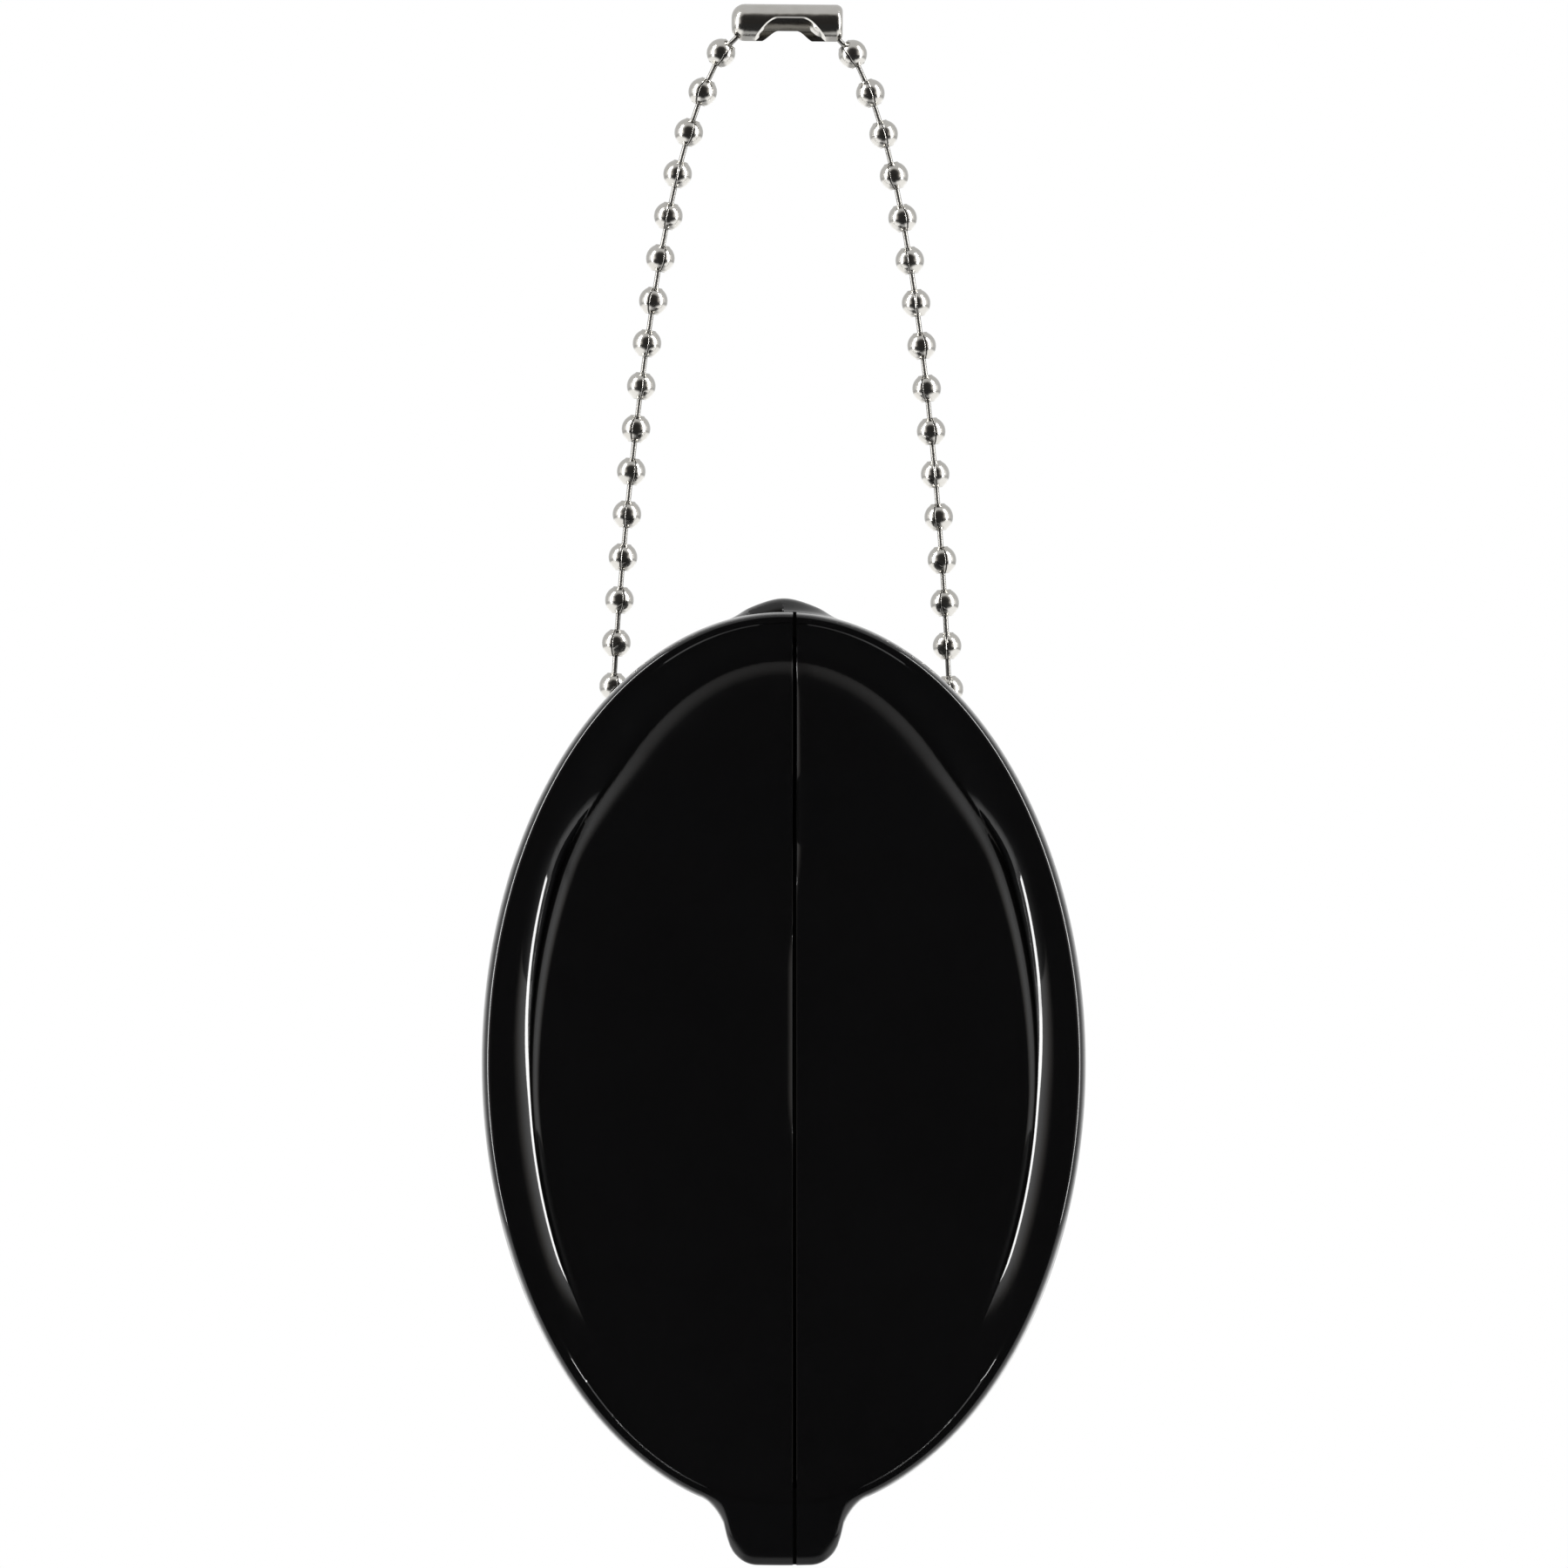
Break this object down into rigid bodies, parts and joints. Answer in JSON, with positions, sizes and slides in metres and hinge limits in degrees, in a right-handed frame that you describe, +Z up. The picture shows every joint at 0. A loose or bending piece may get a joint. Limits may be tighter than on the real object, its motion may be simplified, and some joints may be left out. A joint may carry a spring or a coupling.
{
  "type": "squeeze coin purse",
  "caption": "Oval moulded vinyl coin purse with a slit front that opens when its ends are squeezed, hung on a closed loop of ball chain.",
  "frame": {"origin": "hang point: the underside of the chain connector, in the plane of the chain loop", "axes": "+Z up, +X to the right of a person facing the slit, -Y the way the slit faces"},
  "size_m": [0.0498, 0.0176, 0.129],
  "materials": {
    "vinyl": "glossy moulded vinyl",
    "nickel": "bright nickel plating on steel",
    "link_wire": "drawn steel wire"
  },
  "bodies": {
    "connector": {"connector": "nickel", "connector_beads": "nickel"},
    "row_01": {"links_01": "link_wire", "beads_01": "nickel"},
    "row_02": {"links_02": "link_wire", "beads_02": "nickel"},
    "row_03": {"links_03": "link_wire", "beads_03": "nickel"},
    "row_04": {"links_04": "link_wire", "beads_04": "nickel"},
    "row_05": {"links_05": "link_wire", "beads_05": "nickel"},
    "row_06": {"links_06": "link_wire", "beads_06": "nickel"},
    "row_07": {"links_07": "link_wire", "beads_07": "nickel"},
    "row_08": {"links_08": "link_wire", "beads_08": "nickel"},
    "row_09": {"links_09": "link_wire", "beads_09": "nickel"},
    "row_10": {"links_10": "link_wire", "beads_10": "nickel"},
    "row_11": {"links_11": "link_wire", "beads_11": "nickel"},
    "row_12": {"links_12": "link_wire", "beads_12": "nickel"},
    "row_13": {"links_13": "link_wire", "beads_13": "nickel"},
    "row_14": {"links_14": "link_wire", "beads_14": "nickel"},
    "row_15": {"links_15": "link_wire", "beads_15": "nickel"},
    "row_16": {"links_16": "link_wire", "beads_16": "nickel"},
    "row_17": {"links_17": "link_wire", "beads_17": "nickel"},
    "row_18": {"links_18": "link_wire", "beads_18": "nickel"},
    "row_19": {"links_19": "link_wire", "beads_19": "nickel"},
    "row_20": {"links_20": "link_wire", "beads_20": "nickel"},
    "row_21": {"links_21": "link_wire", "beads_21": "nickel", "centre_link": "link_wire"},
    "purse": {"purse_shell": "vinyl"},
    "left_lip": {"left_lip": "vinyl"},
    "right_lip": {"right_lip": "vinyl"}
  },
  "joints": [
    {"name": "row_01", "type": "hinge", "parent": "connector", "child": "row_01", "pos_m": [0.00001, 0, 0.0012], "axis": [1, 0, -0.0087], "range_deg": [-5, 5]},
    {"name": "row_02", "type": "hinge", "parent": "row_01", "child": "row_02", "pos_m": [-0.00001, 0, -0.00142], "axis": [-1, 0, 0.0087], "range_deg": [-19, 19]},
    {"name": "row_03", "type": "hinge", "parent": "row_02", "child": "row_03", "pos_m": [-0.00004, 0, -0.00467], "axis": [1, 0, -0.0087], "range_deg": [-19, 19]},
    {"name": "row_04", "type": "hinge", "parent": "row_03", "child": "row_04", "pos_m": [-0.00007, 0, -0.00806], "axis": [-1, 0, 0.0087], "range_deg": [-19, 19]},
    {"name": "row_05", "type": "hinge", "parent": "row_04", "child": "row_05", "pos_m": [-0.0001, 0, -0.01151], "axis": [1, 0, -0.0087], "range_deg": [-19, 19]},
    {"name": "row_06", "type": "hinge", "parent": "row_05", "child": "row_06", "pos_m": [-0.00013, 0, -0.01499], "axis": [-1, 0, 0.0087], "range_deg": [-19, 19]},
    {"name": "row_07", "type": "hinge", "parent": "row_06", "child": "row_07", "pos_m": [-0.00016, 0, -0.0185], "axis": [1, 0, -0.0087], "range_deg": [-19, 19]},
    {"name": "row_08", "type": "hinge", "parent": "row_07", "child": "row_08", "pos_m": [-0.00019, 0, -0.02202], "axis": [-1, 0, 0.0087], "range_deg": [-19, 19]},
    {"name": "row_09", "type": "hinge", "parent": "row_08", "child": "row_09", "pos_m": [-0.00022, 0, -0.02554], "axis": [1, 0, -0.0087], "range_deg": [-19, 19]},
    {"name": "row_10", "type": "hinge", "parent": "row_09", "child": "row_10", "pos_m": [-0.00025, 0, -0.02908], "axis": [-1, 0, 0.0087], "range_deg": [-19, 19]},
    {"name": "row_11", "type": "hinge", "parent": "row_10", "child": "row_11", "pos_m": [-0.00028, 0, -0.03261], "axis": [1, 0, -0.0087], "range_deg": [-19, 19]},
    {"name": "row_12", "type": "hinge", "parent": "row_11", "child": "row_12", "pos_m": [-0.00032, 0, -0.03616], "axis": [-1, 0, 0.0087], "range_deg": [-19, 19]},
    {"name": "row_13", "type": "hinge", "parent": "row_12", "child": "row_13", "pos_m": [-0.00035, 0, -0.0397], "axis": [1, 0, -0.0087], "range_deg": [-19, 19]},
    {"name": "row_14", "type": "hinge", "parent": "row_13", "child": "row_14", "pos_m": [-0.00038, 0, -0.04325], "axis": [-1, 0, 0.0087], "range_deg": [-19, 19]},
    {"name": "row_15", "type": "hinge", "parent": "row_14", "child": "row_15", "pos_m": [-0.00041, 0, -0.0468], "axis": [1, 0, -0.0087], "range_deg": [-19, 19]},
    {"name": "row_16", "type": "hinge", "parent": "row_15", "child": "row_16", "pos_m": [-0.00044, 0, -0.05035], "axis": [-1, 0, 0.0087], "range_deg": [-19, 19]},
    {"name": "row_17", "type": "hinge", "parent": "row_16", "child": "row_17", "pos_m": [-0.00047, 0, -0.05389], "axis": [-1, 0, 0.0087], "range_deg": [-19, 0]},
    {"name": "row_18", "type": "hinge", "parent": "row_17", "child": "row_18", "pos_m": [-0.0005, 0, -0.05723], "axis": [-1, 0, 0.0087], "range_deg": [-19, 0]},
    {"name": "row_19", "type": "hinge", "parent": "row_18", "child": "row_19", "pos_m": [-0.00052, 0, -0.06017], "axis": [-1, 0, 0.0087], "range_deg": [-19, 0]},
    {"name": "row_20", "type": "hinge", "parent": "row_19", "child": "row_20", "pos_m": [-0.00055, 0, -0.06252], "axis": [-1, 0, 0.0087], "range_deg": [-19, 0]},
    {"name": "row_21", "type": "hinge", "parent": "row_20", "child": "row_21", "pos_m": [-0.00056, 0, -0.06413], "axis": [-1, 0, 0.0087], "range_deg": [-19, 0]},
    {"name": "purse_swing", "type": "hinge", "parent": "row_21", "child": "purse", "pos_m": [-0.00027, 0, -0.0649], "axis": [1, 0, 0], "range_deg": [0, 165]},
    {"name": "lip_left_open", "type": "hinge", "parent": "purse", "child": "left_lip", "pos_m": [-0.02094, -0.01307, -0.0844], "axis": [0, 0, -1], "range_deg": [0, 40]},
    {"name": "lip_right_open", "type": "hinge", "parent": "purse", "child": "right_lip", "pos_m": [0.02041, -0.01307, -0.0844], "axis": [0, 0, -1], "range_deg": [-40, 0]}
  ],
  "couplings": [
    {"joint": "lip_right_open", "follows": "lip_left_open", "ratio": -1}
  ]
}
